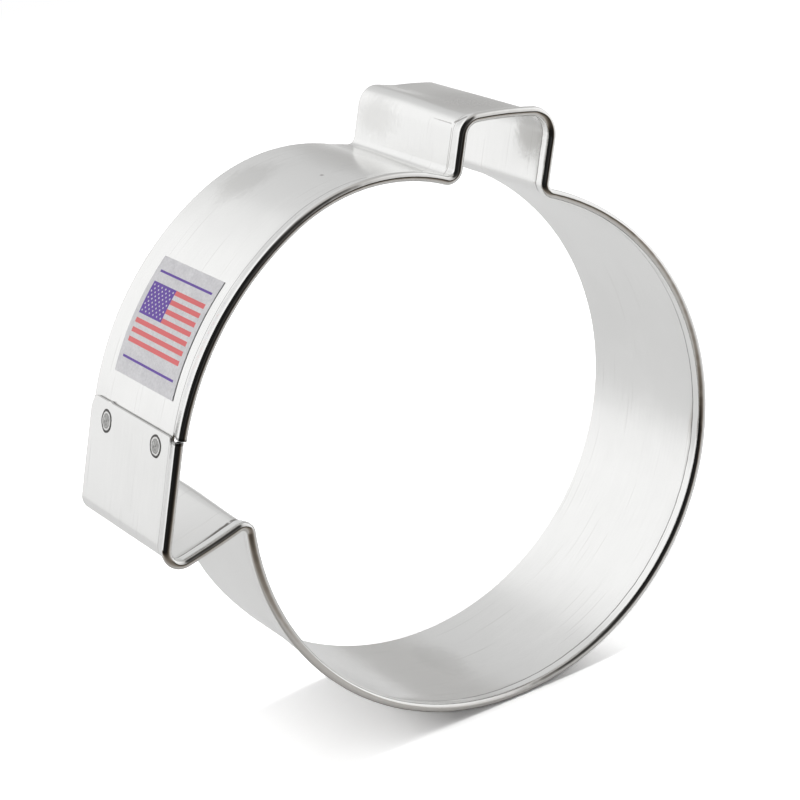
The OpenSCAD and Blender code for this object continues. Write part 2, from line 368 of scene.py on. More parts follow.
def sweep(stations, sec, start_of=None, end_of=None, wobble=True):
    """Closed sheet along the stations. start_of(z) and end_of(z) move the cut ends at each height."""
    n_s, n_k = len(stations), len(sec)
    last_row = stations[-1, 5]
    edge_run = sec[-1, 4]
    verts, uv = [], []
    for x, y, nx, ny, s, row, f in stations:
        for side, order in ((1, range(n_k)), (-1, range(n_k - 1, -1, -1))):
            for k in order:
                u, z, nu, nz, run = sec[k]
                out = u + side * nu * SHEET_T / 2
                up = z + side * nz * SHEET_T / 2
                du, dz = hand_bent(s, z, run, edge_run) if wobble else (0.0, 0.0)
                slide = 0.0
                if end_of is not None and row == last_row:
                    slide = -f * end_of(up)
                if start_of is not None and s < LEAD_IN:
                    slide = -(1 - s / LEAD_IN) * start_of(up)
                px = x + nx * (out + du) + slide * ny
                py = y + ny * (out + du) - slide * nx
                verts.append((px, py, up + dz))
                uv.append((s, run + (0 if side > 0 else INNER_FACE_RUN)))
    loop = 2 * n_k
    faces, cuts = [], []
    for i in range(n_s - 1):
        for k in range(loop):
            a = i * loop + k
            b = i * loop + (k + 1) % loop
            if k in (n_k - 1, loop - 1):
                cuts.append(len(faces))
            faces.append((a, a + loop, b + loop, b))
    for base, flip in ((0, False), ((n_s - 1) * loop, True)):
        for k in range(n_k - 1):
            quad = (base + k, base + k + 1, base + loop - 2 - k, base + loop - 1 - k)
            cuts.append(len(faces))
            faces.append(quad[::-1] if flip else quad)
    return verts, faces, uv, cuts


# Edges that turn by more degrees than this stay sharp
SHARP_ANGLE = 38.0


def add_mesh(name, parts):
    """One object from (verts, faces, uv, cut faces) parts in millimetres from the ring's centre."""
    verts, faces, uvs, cuts = [], [], [], []
    for v, f, u, c in parts:
        base = len(verts)
        cuts += [len(faces) + i for i in c]
        verts += [((p[0] - MID_X) * MM, (p[1] - MID_Y) * MM, p[2] * MM) for p in v]
        faces += [tuple(i + base for i in q) for q in f]
        uvs += list(u)
    mesh = bpy.data.meshes.new(name)
    mesh.from_pydata(verts, [], faces)
    layer = mesh.uv_layers.new(name="run")
    idx = np.empty(len(mesh.loops), np.int64)
    mesh.loops.foreach_get("vertex_index", idx)
    spread = np.array(uvs, float)[idx]
    for i in cuts:
        poly = mesh.polygons[i]
        spread[poly.loop_start : poly.loop_start + poly.loop_total, 1] = CUT_MARK
    layer.data.foreach_set("uv", spread.ravel())
    mesh.polygons.foreach_set("use_smooth", [True] * len(mesh.polygons))
    mesh.set_sharp_from_angle(angle=math.radians(SHARP_ANGLE))
    mesh.update()
    obj = bpy.data.objects.new(name, mesh)
    scene.collection.objects.link(obj)
    return obj


# Cut ends at the seam: a burr low on the outer end, the notch above its wall, and how far the outer
# end's roll is cut back and the other roll runs over
BURR_Z = 5.3
BURR_HALF = 0.13
BURR_OUT = 0.16
NOTCH_Z = BEND_Z + 0.55
NOTCH_HALF = 0.5
NOTCH_DEPTH = 0.5
ROLL_CUT = 0.1
ROLL_OVERRUN = 0.2


def hump(z, middle, half):
    """1 at the middle height, and fading out to each side."""
    return math.exp(-(((z - middle) / half) ** 2))


def flap_end(z):
    """How far the outer end stops short of the seam's line at height z."""
    short = -BURR_OUT * hump(z, BURR_Z, BURR_HALF)
    if z < END_CORNER_R:
        short += END_CORNER_R - math.sqrt(max(0.0, END_CORNER_R**2 - (END_CORNER_R - z) ** 2))
    short += NOTCH_DEPTH * hump(z, NOTCH_Z, NOTCH_HALF)
    return short + ROLL_CUT * rise(z, BEND_Z - 0.1, 0.9)


def side_start(z):
    """How far the upper roll runs down past its sheet's line, into the notch of the lower one."""
    return ROLL_OVERRUN * rise(z, BEND_Z + 0.5, 0.8)


rolled = rolled_section()
flat = with_normals(upright(STRIP_W - LEG_DROP - LAP_TRIM, 24))
RAW_EDGE = float(rolled[-1, 4])
STRIP_LEN = float(band_stations[-1, 4])
band_parts = [
    sweep(band_stations, rolled, start_of=side_start, end_of=flap_end),
    sweep(lap_stations, flat, wobble=False),
]
band = add_mesh("bent_strip", band_parts)

# Welds: a mottled middle, a groove and a raised rim, each out to its radius, and how far each stands
# proud. The edge lies sunk in the sheet.
WELD_MIDDLE_R = 1.0
WELD_GROOVE_R = 1.2
WELD_RIM_R = 1.5
WELD_R = 1.55
WELD_RADII = [0.0, 0.2, 0.4, 0.6, 0.8, 0.95, 1.05, 1.15, 1.25, 1.35, 1.45, WELD_R]
WELD_STEPS = 48
WELD_MIDDLE = 0.04
WELD_GROOVE = 0.028
WELD_RIM = 0.03
WELD_SUNK = 0.02


def weld_profile(r):
    """How far the weld stands proud of the sheet at a radius."""
    if r < WELD_MIDDLE_R:
        return WELD_MIDDLE
    if r < WELD_GROOVE_R:
        return WELD_GROOVE
    if r < WELD_RIM_R:
        share = (r - WELD_GROOVE_R) / (WELD_RIM_R - WELD_GROOVE_R)
        return WELD_GROOVE + WELD_RIM * math.sin(math.pi * share)
    return -WELD_SUNK


def weld_mesh(weld_z, drop, seed):
    """Spot weld through both layers, alike on each side."""
    phases = np.random.default_rng(seed).uniform(0, 2 * math.pi, 5)
    weld_x = -WALL_X + (SHEET_T + LAP_GAP) / 2
    weld_y = SEAM_Y - drop
    half = SHEET_T + LAP_GAP / 2
    verts, uv, rings = [], [], []
    for side, radii in ((-1, WELD_RADII), (1, WELD_RADII[::-1])):
        for r in radii:
            ring = []
            for j in range(WELD_STEPS):
                a = 2 * math.pi * j / WELD_STEPS
                rough = 0.012 * math.sin(3 * a + phases[0] + 4 * r)
                rough += 0.009 * math.sin(5 * a + phases[1] - 6 * r)
                rough += 0.008 * math.sin(9 * r + 2 * a + phases[2])
                oval = 1 + 0.03 * math.sin(2 * a + phases[3]) + 0.015 * math.sin(5 * a + phases[4])
                out = half + weld_profile(r) + rough * max(0.0, 1 - r)
                y, z = weld_y + r * oval * math.sin(a), weld_z + r * oval * math.cos(a)
                ring.append(len(verts))
                verts.append((weld_x + side * out, y, z))
                uv.append((r * math.cos(a), r * math.sin(a)))
            rings.append(ring)
    faces = []
    for a, b in zip(rings[:-1], rings[1:]):
        for j in range(WELD_STEPS):
            k = (j + 1) % WELD_STEPS
            faces.append((a[j], b[j], b[k], a[k]))
    return verts, faces, uv, []


welds = {name: add_mesh(name + "_spot_weld", [weld_mesh(*weld)]) for name, weld in WELDS.items()}

# Label: how many steps it has each way, how deep its back lies in the sheet, and its ripple
LABEL_STEPS = 56
LABEL_SUNK = 0.02
LABEL_RIPPLE = 0.006


def label_mesh():
    """Foil label wrapped on the outer face along the long curve."""
    n = LABEL_STEPS
    verts, faces, uv = [], [], []
    cx, cy = SIDE_R - INNER_X, SIDE_START_Y
    sheet_r = SIDE_R + SHEET_T / 2
    for is_face in (False, True):
        for j in range(n + 1):
            s = LABEL_FROM + LABEL_LEN * j / n
            a = math.degrees(s / SIDE_R)
            for i in range(n + 1):
                z = LABEL_Z + LABEL_W * i / n
                r = sheet_r - LABEL_SUNK
                if is_face:
                    r = sheet_r + LABEL_T + LABEL_RIPPLE * wave(s, z, SHEET_WAVES)
                verts.append((cx - r * cosd(a), cy + r * sind(a), z))
                uv.append((i / n, j / n))
    w = n + 1
    face = w * w
    for j in range(n):
        for i in range(n):
            a = j * w + i
            faces.append((a + face, a + face + 1, a + face + 1 + w, a + face + w))
            faces.append((a, a + w, a + w + 1, a + 1))
    edge = list(range(w)) + [j * w + n for j in range(1, w)]
    edge += [n * w + i for i in range(n - 1, -1, -1)] + [j * w for j in range(n - 1, 0, -1)]
    for p, q in zip(edge, edge[1:] + edge[:1]):
        faces.append((p, q, q + face, p + face))
    return verts, faces, uv, []


label = add_mesh("foil_sticker", [label_mesh()])


# Materials
def grey(v, warm=0.0):
    return (v, v * (1 - warm / 2), v * (1 - warm))


class Nodes:
    """Short way to build a node tree."""

    def __init__(self, tree):
        self.tree = tree
        tree.nodes.clear()

    def add(self, kind, inputs=None, **props):
        n = self.tree.nodes.new(kind)
        for k, v in props.items():
            setattr(n, k, v)
        for k, v in (inputs or {}).items():
            self.put(n.inputs[k], v)
        return n

    def put(self, socket, value):
        if isinstance(value, bpy.types.NodeSocket):
            self.tree.links.new(value, socket)
        else:
            socket.default_value = value

    def math(self, op, *args, clamp=False):
        n = self.add("ShaderNodeMath", operation=op, use_clamp=clamp)
        for i, a in enumerate(args):
            self.put(n.inputs[i], a)
        return n.outputs[0]

    def plus(self, a, b, clamp=False):
        return self.math("ADD", a, b, clamp=clamp)

    def minus(self, a, b):
        return self.math("SUBTRACT", a, b)

    def times(self, a, b):
        return self.math("MULTIPLY", a, b)

    def between(self, value, low, high):
        """1 where the value lies between the two others, and 0 elsewhere."""
        return self.times(self.math("GREATER_THAN", value, low), self.math("LESS_THAN", value, high))

    def swing(self, noise, amount):
        """A noise's swing about its middle, times an amount."""
        return self.times(self.minus(noise, 0.5), amount)

    def vector(self, op, *args):
        """A vector from two others."""
        return self.add("ShaderNodeVectorMath", dict(enumerate(args)), operation=op).outputs["Vector"]

    def number(self, op, *args):
        """A number from one or two vectors."""
        return self.add("ShaderNodeVectorMath", dict(enumerate(args)), operation=op).outputs["Value"]

    def ramp(self, fac, stops, mode="LINEAR"):
        n = self.add("ShaderNodeValToRGB")
        n.color_ramp.interpolation = mode
        els = n.color_ramp.elements
        while len(els) < len(stops):
            els.new(0.5)
        for e, (place, colour) in zip(els, stops):
            e.position = place
            e.color = (*colour, 1)
        self.put(n.inputs[0], fac)
        return n.outputs[0]

    def tones(self, fac, stops, mode="LINEAR"):
        """Ramp of greys. Each stop is its place and its grey, and its warmth if it has one."""
        return self.ramp(fac, [(place, grey(*tone)) for place, *tone in stops], mode)

    def mix(self, fac, a, b, blend="MIX"):
        n = self.add("ShaderNodeMix", data_type="RGBA", blend_type=blend)
        # Sockets 6 and 7 are the node's two colours, and output 2 is the mixed one
        self.put(n.inputs[0], fac)
        self.put(n.inputs[6], a)
        self.put(n.inputs[7], b)
        return n.outputs[2]

    def noise(self, vector, scale, detail, rough, dist=0.0):
        n = self.add("ShaderNodeTexNoise", {"Vector": vector, "Scale": scale, "Detail": detail})
        self.put(n.inputs["Roughness"], rough)
        self.put(n.inputs["Distortion"], dist)
        return n.outputs["Fac"]

    def run_map(self):
        return self.add("ShaderNodeUVMap", uv_map="run").outputs[0]

    def own_place(self):
        """A place on the object in its own coordinates, in metres."""
        return self.add("ShaderNodeTexCoord").outputs["Object"]

    def mapped(self, vector, scale=(1, 1, 1), rot=(0, 0, 0), loc=(0, 0, 0)):
        inputs = {"Vector": vector, "Scale": scale, "Rotation": rot, "Location": loc}
        return self.add("ShaderNodeMapping", inputs).outputs[0]

    def light(self, kind, colour, strength):
        """An emission or a background."""
        return self.add(kind, {"Color": colour, "Strength": strength}).outputs[0]

    def blend(self, fac, a, b):
        """One shader turning into another."""
        return self.add("ShaderNodeMixShader", {0: fac, 1: a, 2: b}).outputs[0]

    def mirrored(self, ray):
        """1 for the rays by which metal, or glass, shows its surroundings."""
        return self.math("MAXIMUM", ray["Is Glossy Ray"], ray["Is Transmission Ray"])

    def end(self, shader, kind="ShaderNodeOutputMaterial"):
        """The shader to the tree's output."""
        self.tree.links.new(shader, self.add(kind).inputs[0])

    def surface(self, colour, metallic, rough, height, strength, depth):
        """The material's own surface. The height makes a bump, with its strength and depth in metres."""
        bump = self.add("ShaderNodeBump", {"Strength": strength, "Distance": depth, "Height": height})
        inputs = {"Base Color": colour, "Metallic": metallic, "Roughness": rough}
        shader = self.add("ShaderNodeBsdfPrincipled", {**inputs, "Normal": bump.outputs[0]})
        self.end(shader.outputs[0])


def new_material(name):
    """An empty material, and the Nodes that fill it, called t throughout."""
    mat = bpy.data.materials.new(name)
    mat.use_nodes = True
    return mat, Nodes(mat.node_tree)


# Each rubbed mark is its middle and its half sizes in metres, and its strength
RUBBED = [
    ((-0.0244, 0.0262, 0.0057), (0.006, 0.006, 0.005), 0.25),
    ((0.0125, -0.0386, 0.010), (0.0035, 0.004, 0.009), 0.14),
    ((0.0078, 0.0362, 0.0205), (0.003, 0.004, 0.0045), 0.5),
    ((-0.0146, 0.0303, 0.012), (0.005, 0.004, 0.013), 0.12),
    ((0.002, 0.0392, 0.016), (0.007, 0.004, 0.012), 0.2),
    ((-0.0052, 0.0352, 0.005), (0.003, 0.0035, 0.007), 0.22),
]
# Each scratch, or painted shade line along a crease, is its two ends and its half width in metres, and
# its strength
SCRATCHES_AND_CREASE_SHADES = [
    ((-0.0014, 0.0389, 0.0022), (-0.00145, 0.0389, 0.0048), 0.00013, 0.6),
    ((-0.00502, 0.03704, 0.0165), (-0.00502, 0.03704, 0.0218), 0.0001, 0.4),
    ((-0.005, 0.0374, 0.0224), (-0.0047, 0.0383, 0.0244), 0.0003, 0.75),
    ((-0.0052, 0.0312, 0.0223), (-0.0052, 0.0365, 0.0223), 0.00013, 0.4),
    ((-0.0286, -0.0134, 0.0225), (-0.0301, -0.0137, 0.0227), 0.0003, 0.8),
    ((-0.0368, -0.0178, 0.0231), (-0.0305, -0.0142, 0.0227), 0.0003, 0.85),
    ((-0.0195, 0.0289, 0.0162), (-0.0195, 0.0289, 0.0165), 0.00028, 0.5),
]
# Two sets of hairlines: how close they lie, and how they lean in radians
HAIRLINES = ((1.6, 0.5), (1.9, -0.9))

# The steel's own tone, and those of its marks; the crease, hem-end and raw-edge tones are painted shade
TIN = (0.95, 0.95, 0.94, 1)
HAIRLINE_TONE = (0.6, 0.58, 0.56, 1)
RUBBED_TONE = (0.46, 0.45, 0.43, 1)
# Scratches, and painted shade along creases
SCRATCH_AND_CREASE_SHADE_TONE = (0.16, 0.145, 0.13, 1)
CUT_TONE = (0.4, 0.39, 0.38, 1)
# Painted shade along the line where the band leans out
CREASE_SHADE_TONE = (0.3, 0.29, 0.28, 1)
SEAM_TONE = (0.2, 0.195, 0.19, 1)
# Painted shade in the notch where the hem's ends butt
ROLL_END_SHADE_TONE = (0.05, 0.048, 0.045, 1)
# Painted shadow along the leg's raw edge
RAW_EDGE_SHADOW_TONE = (0.12, 0.115, 0.11, 1)


def rubbed_share(t, obj, swirl):
    """How rubbed the steel is at a place, all marks together."""
    share = 0.0
    for centre, size, strength in RUBBED:
        away = t.number("LENGTH", t.vector("DIVIDE", t.vector("SUBTRACT", obj, centre), size))
        spot = t.tones(t.plus(away, t.swing(swirl, 0.9)), [(0.35, 1), (1.0, 0)], "EASE")
        share = t.plus(t.times(spot, strength), share)
    return share


def scratched_and_crease_shaded(t, colour, obj, swirl):
    """The colour with each scratch, and the painted shade along each crease, as a dark, ragged line."""
    for start, stop, width, strength in SCRATCHES_AND_CREASE_SHADES:
        line = [b - a for a, b in zip(start, stop)]
        away = t.vector("SUBTRACT", obj, start)
        share = t.number("DOT_PRODUCT", away, line)
        share = t.math("DIVIDE", share, sum(c * c for c in line), clamp=True)
        nearest = t.add("ShaderNodeVectorMath", {0: line}, operation="SCALE")
        t.put(nearest.inputs["Scale"], share)
        gap = t.number("DISTANCE", away, nearest.outputs[0])
        ragged = t.times(width, t.math("MULTIPLY_ADD", swirl, 1.4, 0.3))
        mark = t.tones(t.math("DIVIDE", gap, ragged), [(0.4, 1), (1.0, 0)])
        colour = t.mix(t.times(mark, strength), colour, SCRATCH_AND_CREASE_SHADE_TONE)
    return colour


# Marks on the run map, in millimetres: how wide the cutting edge looks dull, the half width and the sway
# of the painted shade line where the band leans out, the seam's line, the widths of the painted shade at
# the hem's butted ends, and the painted shadow line at the leg's raw edge
CUT_W = 0.12
CREASE_SHADE_HALF = 0.085
CREASE_SHADE_SWAY = 1.2
SEAM_LINE_W = 0.06
HEM_START_SHADE_W = 0.3
HEM_END_SHADE_W = 0.35
RAW_SHADOW_W = 0.26
RAW_SHADOW_SWAY = 0.16
RAW_SHADOW_PAST = 0.5


def edged(t, colour, uv, along, height, swirl):
    """The colour with the cut edges, the seam's line, painted shade along the line where the band leans
    out and at the hem's butted ends, and a painted shadow line at the leg's raw edge.
    """
    # The cutting edge and all other cut faces
    cut = t.math("LESS_THAN", height, CUT_W)
    colour = t.mix(t.times(cut, 0.5), colour, CUT_TONE)
    # The painted shade line where the band leans out: it comes and goes, and is plainer on the label's
    # side
    stray = t.noise(t.mapped(uv, (0.06, 0, 0)), scale=1.0, detail=3.0, rough=0.6)
    line_z = t.math("MULTIPLY_ADD", stray, CREASE_SHADE_SWAY, BEND_Z - CREASE_SHADE_SWAY / 2)
    crease = t.math("ABSOLUTE", t.minus(height, line_z))
    crease = t.math("LESS_THAN", crease, CREASE_SHADE_HALF)
    faint = t.noise(t.mapped(uv, (0.025, 0, 0), loc=(7.3, 0, 0)), scale=1.0, detail=2.0, rough=0.5)
    faint = t.tones(faint, [(0.4, 0.12), (0.6, 0.5)])
    plainer = t.tones(t.math("DIVIDE", along, 100.0), [(0.5, 0.45), (0.62, 0.0)])
    faint = t.plus(faint, plainer, clamp=True)
    colour = t.mix(t.times(crease, faint), colour, CREASE_SHADE_TONE)
    # The seam's own line, and painted shade at the butted ends of the hem, where they meet in the notch
    seam_line = t.times(t.math("GREATER_THAN", along, STRIP_LEN - SEAM_LINE_W), 0.4)
    colour = t.mix(seam_line, colour, SEAM_TONE)
    first = t.math("LESS_THAN", along, HEM_START_SHADE_W)
    last = t.math("GREATER_THAN", along, STRIP_LEN - HEM_END_SHADE_W)
    ends = t.times(t.math("MAXIMUM", first, last), t.math("GREATER_THAN", height, BEND_Z))
    colour = t.mix(t.times(ends, 0.6), colour, ROLL_END_SHADE_TONE)
    # Painted shadow line along the raw edge of the folded leg
    raw_shadow_from = t.plus(RAW_EDGE - RAW_SHADOW_W, t.times(swirl, RAW_SHADOW_SWAY))
    raw = t.between(height, raw_shadow_from, RAW_EDGE + RAW_SHADOW_PAST)
    return t.mix(t.times(raw, 0.86), colour, RAW_EDGE_SHADOW_TONE)


def steel_material():
    """Bright tinned sheet: rolled grain, faint clouds, rubbed marks, scratches and edge wear, with
    painted shade along creases, the bend line and the hem's ends, and a painted shadow line at the leg's
    raw edge.
    """
    mat, t = new_material("tinplate")
    uv, obj = t.run_map(), t.own_place()
    split = t.add("ShaderNodeSeparateXYZ", {0: uv}).outputs
    along, height = split["X"], split["Y"]
    grain = t.noise(t.mapped(uv, (0.02, 1, 1)), scale=4.0, detail=4.0, rough=0.65)
    fine = t.noise(t.mapped(uv, (0.5, 1, 1)), scale=9.0, detail=2.0, rough=0.6)
    blotch = t.noise(obj, scale=130.0, detail=4.0, rough=0.55, dist=0.6)
    wide = t.noise(obj, scale=45.0, detail=2.0, rough=0.5)
    swirl = t.noise(t.mapped(obj, loc=(3.1, 1.7, 0.4)), scale=420.0, detail=5.0, rough=0.7, dist=2.5)
    lines = 0.0
    for closeness, lean in HAIRLINES:
        hair = t.mapped(uv, (0.03, closeness, 1), rot=(0, 0, lean))
        hair = t.noise(hair, scale=2.0, detail=1.0, rough=0.4)
        lines = t.math("MAXIMUM", t.tones(hair, [(0.72, 0), (0.75, 1)]), lines)
    rubbed = rubbed_share(t, obj, swirl)
    clouds = t.tones(blotch, [(0.3, 0.965), (0.75, 1.0)])
    streaks = t.tones(grain, [(0.3, 0.97), (0.7, 1)])
    colour = t.mix(1.0, TIN, clouds, "MULTIPLY")
    colour = t.mix(1.0, colour, streaks, "MULTIPLY")
    colour = t.mix(t.times(lines, 0.3), colour, HAIRLINE_TONE)
    colour = t.mix(rubbed, colour, RUBBED_TONE)
    colour = scratched_and_crease_shaded(t, colour, obj, swirl)
    colour = edged(t, colour, uv, along, height, swirl)
    # The outside of the roll is the most polished, and rubbed steel the least
    rough = t.add(
        "ShaderNodeMapRange",
        {"Value": wide, "From Min": 0.3, "From Max": 0.7, "To Min": 0.15, "To Max": 0.25},
    ).outputs[0]
    on_roll = t.between(height, STRIP_W - 2.2, FACE_SPLIT)
    rough = t.times(rough, t.minus(1.0, t.times(on_roll, 0.6)))
    rough = t.plus(rough, t.swing(swirl, 0.06))
    rough = t.plus(rough, t.times(rubbed, 0.2))
    rough = t.plus(rough, t.swing(fine, 0.1), clamp=True)
    relief = t.plus(t.times(grain, 0.6), t.times(fine, 0.4))
    relief = t.minus(relief, t.times(lines, 0.3))
    t.surface(colour, 1.0, rough, relief, 0.25, 0.00002)
    return mat


# The weld's tones from its middle outward, at half its radius in millimetres
WELD_TONES = [
    (0.0, (0.62, 0.62, 0.61)),
    (0.4, (0.62, 0.62, 0.61)),
    (0.45, (0.3, 0.295, 0.29)),
    (0.5, (0.85, 0.85, 0.84)),
    (0.575, (0.85, 0.85, 0.84)),
    (0.615, (0.07, 0.068, 0.065)),
    (0.73, (0.08, 0.077, 0.075)),
    (0.77, (0.85, 0.85, 0.84)),
]


def weld_material():
    """Spot weld: a burnt ring round a pale ring and a mottled middle."""
    mat, t = new_material("weld_mark")
    uv = t.run_map()
    mottle = t.noise(uv, scale=3.4, detail=4.0, rough=0.7, dist=0.8)
    speck = t.noise(uv, scale=9.0, detail=3.0, rough=0.6)
    ragged = t.plus(t.number("LENGTH", uv), t.swing(mottle, 0.3))
    ring = t.ramp(t.times(ragged, 0.5), WELD_TONES)
    middle = t.ramp(mottle, [(0.42, (0.38, 0.38, 0.375)), (0.58, (1, 1, 1))])
    inside = t.math("LESS_THAN", ragged, 0.88)
    colour = t.mix(t.times(inside, 0.85), ring, t.mix(1.0, ring, middle, "MULTIPLY"))
    rough = t.plus(0.26, t.times(speck, 0.2))
    t.surface(colour, 1.0, rough, mottle, 0.6, 0.00005)
    return mat


# The label's print, in shares of its width and length: the striped figure, the dotted field in its
# corner, and a thin rule above and below
PRINT_LEFT, PRINT_RIGHT, PRINT_BOTTOM, PRINT_TOP = 0.067, 0.935, 0.262, 0.782
FIELD_RIGHT, FIELD_BOTTOM = 0.448, 0.502
STRIPES = 13
DOT_COLUMNS, DOT_ROWS = 12, 10
DOT_R = 0.145
RULES = ((0.865, 0.885), (0.13, 0.15))
CORAL = (0.56, 0.105, 0.11, 1)
VIOLET = (0.085, 0.028, 0.27, 1)


def dotted(t, u, v):
    """1 on the dots of the corner field, whose every second row is shifted by half a step."""
    column_step = (FIELD_RIGHT - PRINT_LEFT) / DOT_COLUMNS
    row_step = (PRINT_TOP - FIELD_BOTTOM) / DOT_ROWS
    column = t.math("DIVIDE", t.minus(u, PRINT_LEFT), 2 * column_step)
    row = t.math("DIVIDE", t.minus(v, FIELD_BOTTOM), 2 * row_step)
    clear_of_edge = t.times(
        t.between(u, PRINT_LEFT + column_step / 2, FIELD_RIGHT - column_step / 2),
        t.between(v, FIELD_BOTTOM + row_step / 2, PRINT_TOP - row_step / 2),
    )
    dots = 0.0
    for shift in (0.0, 0.5):
        du = t.minus(t.math("FRACT", t.plus(column, shift)), 0.5)
        dv = t.minus(t.math("FRACT", t.plus(row, shift)), 0.5)
        rr = t.math("SQRT", t.plus(t.times(du, du), t.times(dv, dv)))
        dots = t.math("MAXIMUM", t.math("LESS_THAN", rr, DOT_R), dots)
    return t.times(dots, clear_of_edge)


def label_material():
    """Dull speckled foil with coral stripes, a dotted violet field and two thin violet rules."""
    mat, t = new_material("printed_foil")
    obj = t.own_place()
    split = t.add("ShaderNodeSeparateXYZ", {0: t.run_map()}).outputs
    u, v = split["X"], split["Y"]
    across = t.between(u, PRINT_LEFT, PRINT_RIGHT)
    within = t.times(across, t.between(v, PRINT_BOTTOM, PRINT_TOP))
    two_stripes = 2 * (PRINT_TOP - PRINT_BOTTOM) / STRIPES
    step = t.math("DIVIDE", t.minus(v, PRINT_BOTTOM), two_stripes)
    stripes = t.times(within, t.math("LESS_THAN", t.math("FRACT", step), 0.5))
    field_u = t.between(u, PRINT_LEFT, FIELD_RIGHT)
    field = t.times(field_u, t.between(v, FIELD_BOTTOM, PRINT_TOP))
    bars = t.times(stripes, t.minus(1.0, field))
    rules = t.math("MAXIMUM", t.between(v, *RULES[0]), t.between(v, *RULES[1]))
    rules = t.times(rules, across)
    dots = dotted(t, u, v)
    violet = t.math("MAXIMUM", t.times(field, t.minus(1.0, dots)), rules)
    speckle = t.noise(obj, scale=3000.0, detail=2.0, rough=0.6)
    wear = t.noise(obj, scale=500.0, detail=4.0, rough=0.6)
    colour = t.ramp(wear, [(0.3, (0.565, 0.56, 0.58)), (0.7, (0.64, 0.635, 0.65))])
    colour = t.mix(1.0, colour, t.tones(speckle, [(0.3, 0.86), (0.7, 1.04)]), "MULTIPLY")
    colour = t.mix(bars, colour, CORAL)
    colour = t.mix(violet, colour, VIOLET)
    printed = t.math("MAXIMUM", bars, violet)
    metal = t.minus(0.55, t.times(printed, 0.5))
    rough = t.plus(0.36, t.swing(speckle, 0.2))
    height = t.plus(t.times(speckle, 0.5), t.times(printed, 0.5))
    t.surface(colour, metal, rough, height, 0.2, 0.00002)
    return mat


steel = steel_material()
weld_steel = weld_material()
foil = label_material()

# Pieces on the frame
for piece, node, slot, mat in (
    (band, "strip_band", "tinned_steel", steel),
    (welds["front"], "front_weld", "weld_steel", weld_steel),
    (welds["rear"], "rear_weld", "weld_steel", weld_steel),
    (label, "foil_label", "label_foil", foil),
):
    piece.data.materials.append(mat)
    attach(piece, "root")
    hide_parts(node)
    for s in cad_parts[node].material_slots:
        s.material = mat

# Camera: its place in metres, its turn to the right and its dip in degrees, as solved from the photo
CAMERA_PLACE = Vector((-0.182944, 0.070535, 0.297771))
CAMERA_TURN = 32.486484
CAMERA_DIP = 11.929788
FOCAL_PX = 2626.385
PICTURE_PX = 800
SENSOR_W = 36.0


def axes_at(right, up, back, place):
    """Matrix of something with these axes at a place."""
    rows = [(right[i], up[i], back[i], place[i]) for i in range(3)]
    return Matrix((*rows, (0, 0, 0, 1)))


turned = Vector((sind(CAMERA_TURN), 0, -cosd(CAMERA_TURN)))
forward = turned * cosd(CAMERA_DIP) + Vector((0, -sind(CAMERA_DIP), 0))
camera_up = Vector((1, 0, 0)).cross(forward).normalized()
camera_data = bpy.data.cameras.new("camera")
camera_data.sensor_fit = "HORIZONTAL"
camera_data.sensor_width = SENSOR_W
camera_data.lens = FOCAL_PX / PICTURE_PX * SENSOR_W
camera_data.clip_start = 0.01
camera_data.clip_end = 20
camera = bpy.data.objects.new("camera", camera_data)
scene.collection.objects.link(camera)
camera.matrix_world = axes_at(forward.cross(camera_up), camera_up, -forward, CAMERA_PLACE)
scene.camera = camera

# The room's own directions, and the floor's. The cutter stands rolled a little further round on the
# paper than the room round it.
UP = Vector((-0.148, 0.989, 0)).normalized()
FRONT = (-forward + UP * UP.dot(forward)).normalized()
RIGHT = UP.cross(FRONT).normalized()
FLOOR_UP = Vector((-0.311, 0.95, 0)).normalized()
ACROSS = Vector((FLOOR_UP.y, -FLOOR_UP.x, 0))
FLOOR_HALF = 1.2
MID_DEPTH = STRIP_W / 2 * MM
RING_CENTRE = Vector((-MID_X, -MID_Y, 0)) * MM
CONTACT = RING_CENTRE - FLOOR_UP * (RING_R + ROLL_R + ROLL_OUT) * MM
WHITE = (1, 1, 1, 1)


def at_floor(a, b):
    """Point on the floor, a across and b towards the rolled edge from the touching line."""
    return CONTACT + ACROSS * a + Vector((0, 0, b))


# The paper as the camera sees it, and the light that it gives of itself
PAPER_TONE = (1.3, 1.3, 1.3, 1)
PAPER_GLOW = 0.1
# The ramps for reflections cover this many metres of floor
RAMP_SPAN = 0.5
# The dark room's edge, painted on the paper as the metal sees it, runs back over this stretch to the
# left, at this slant
EDGE_LEFT = 0.12
EDGE_STRETCH = 0.13
EDGE_SLANT = 0.65


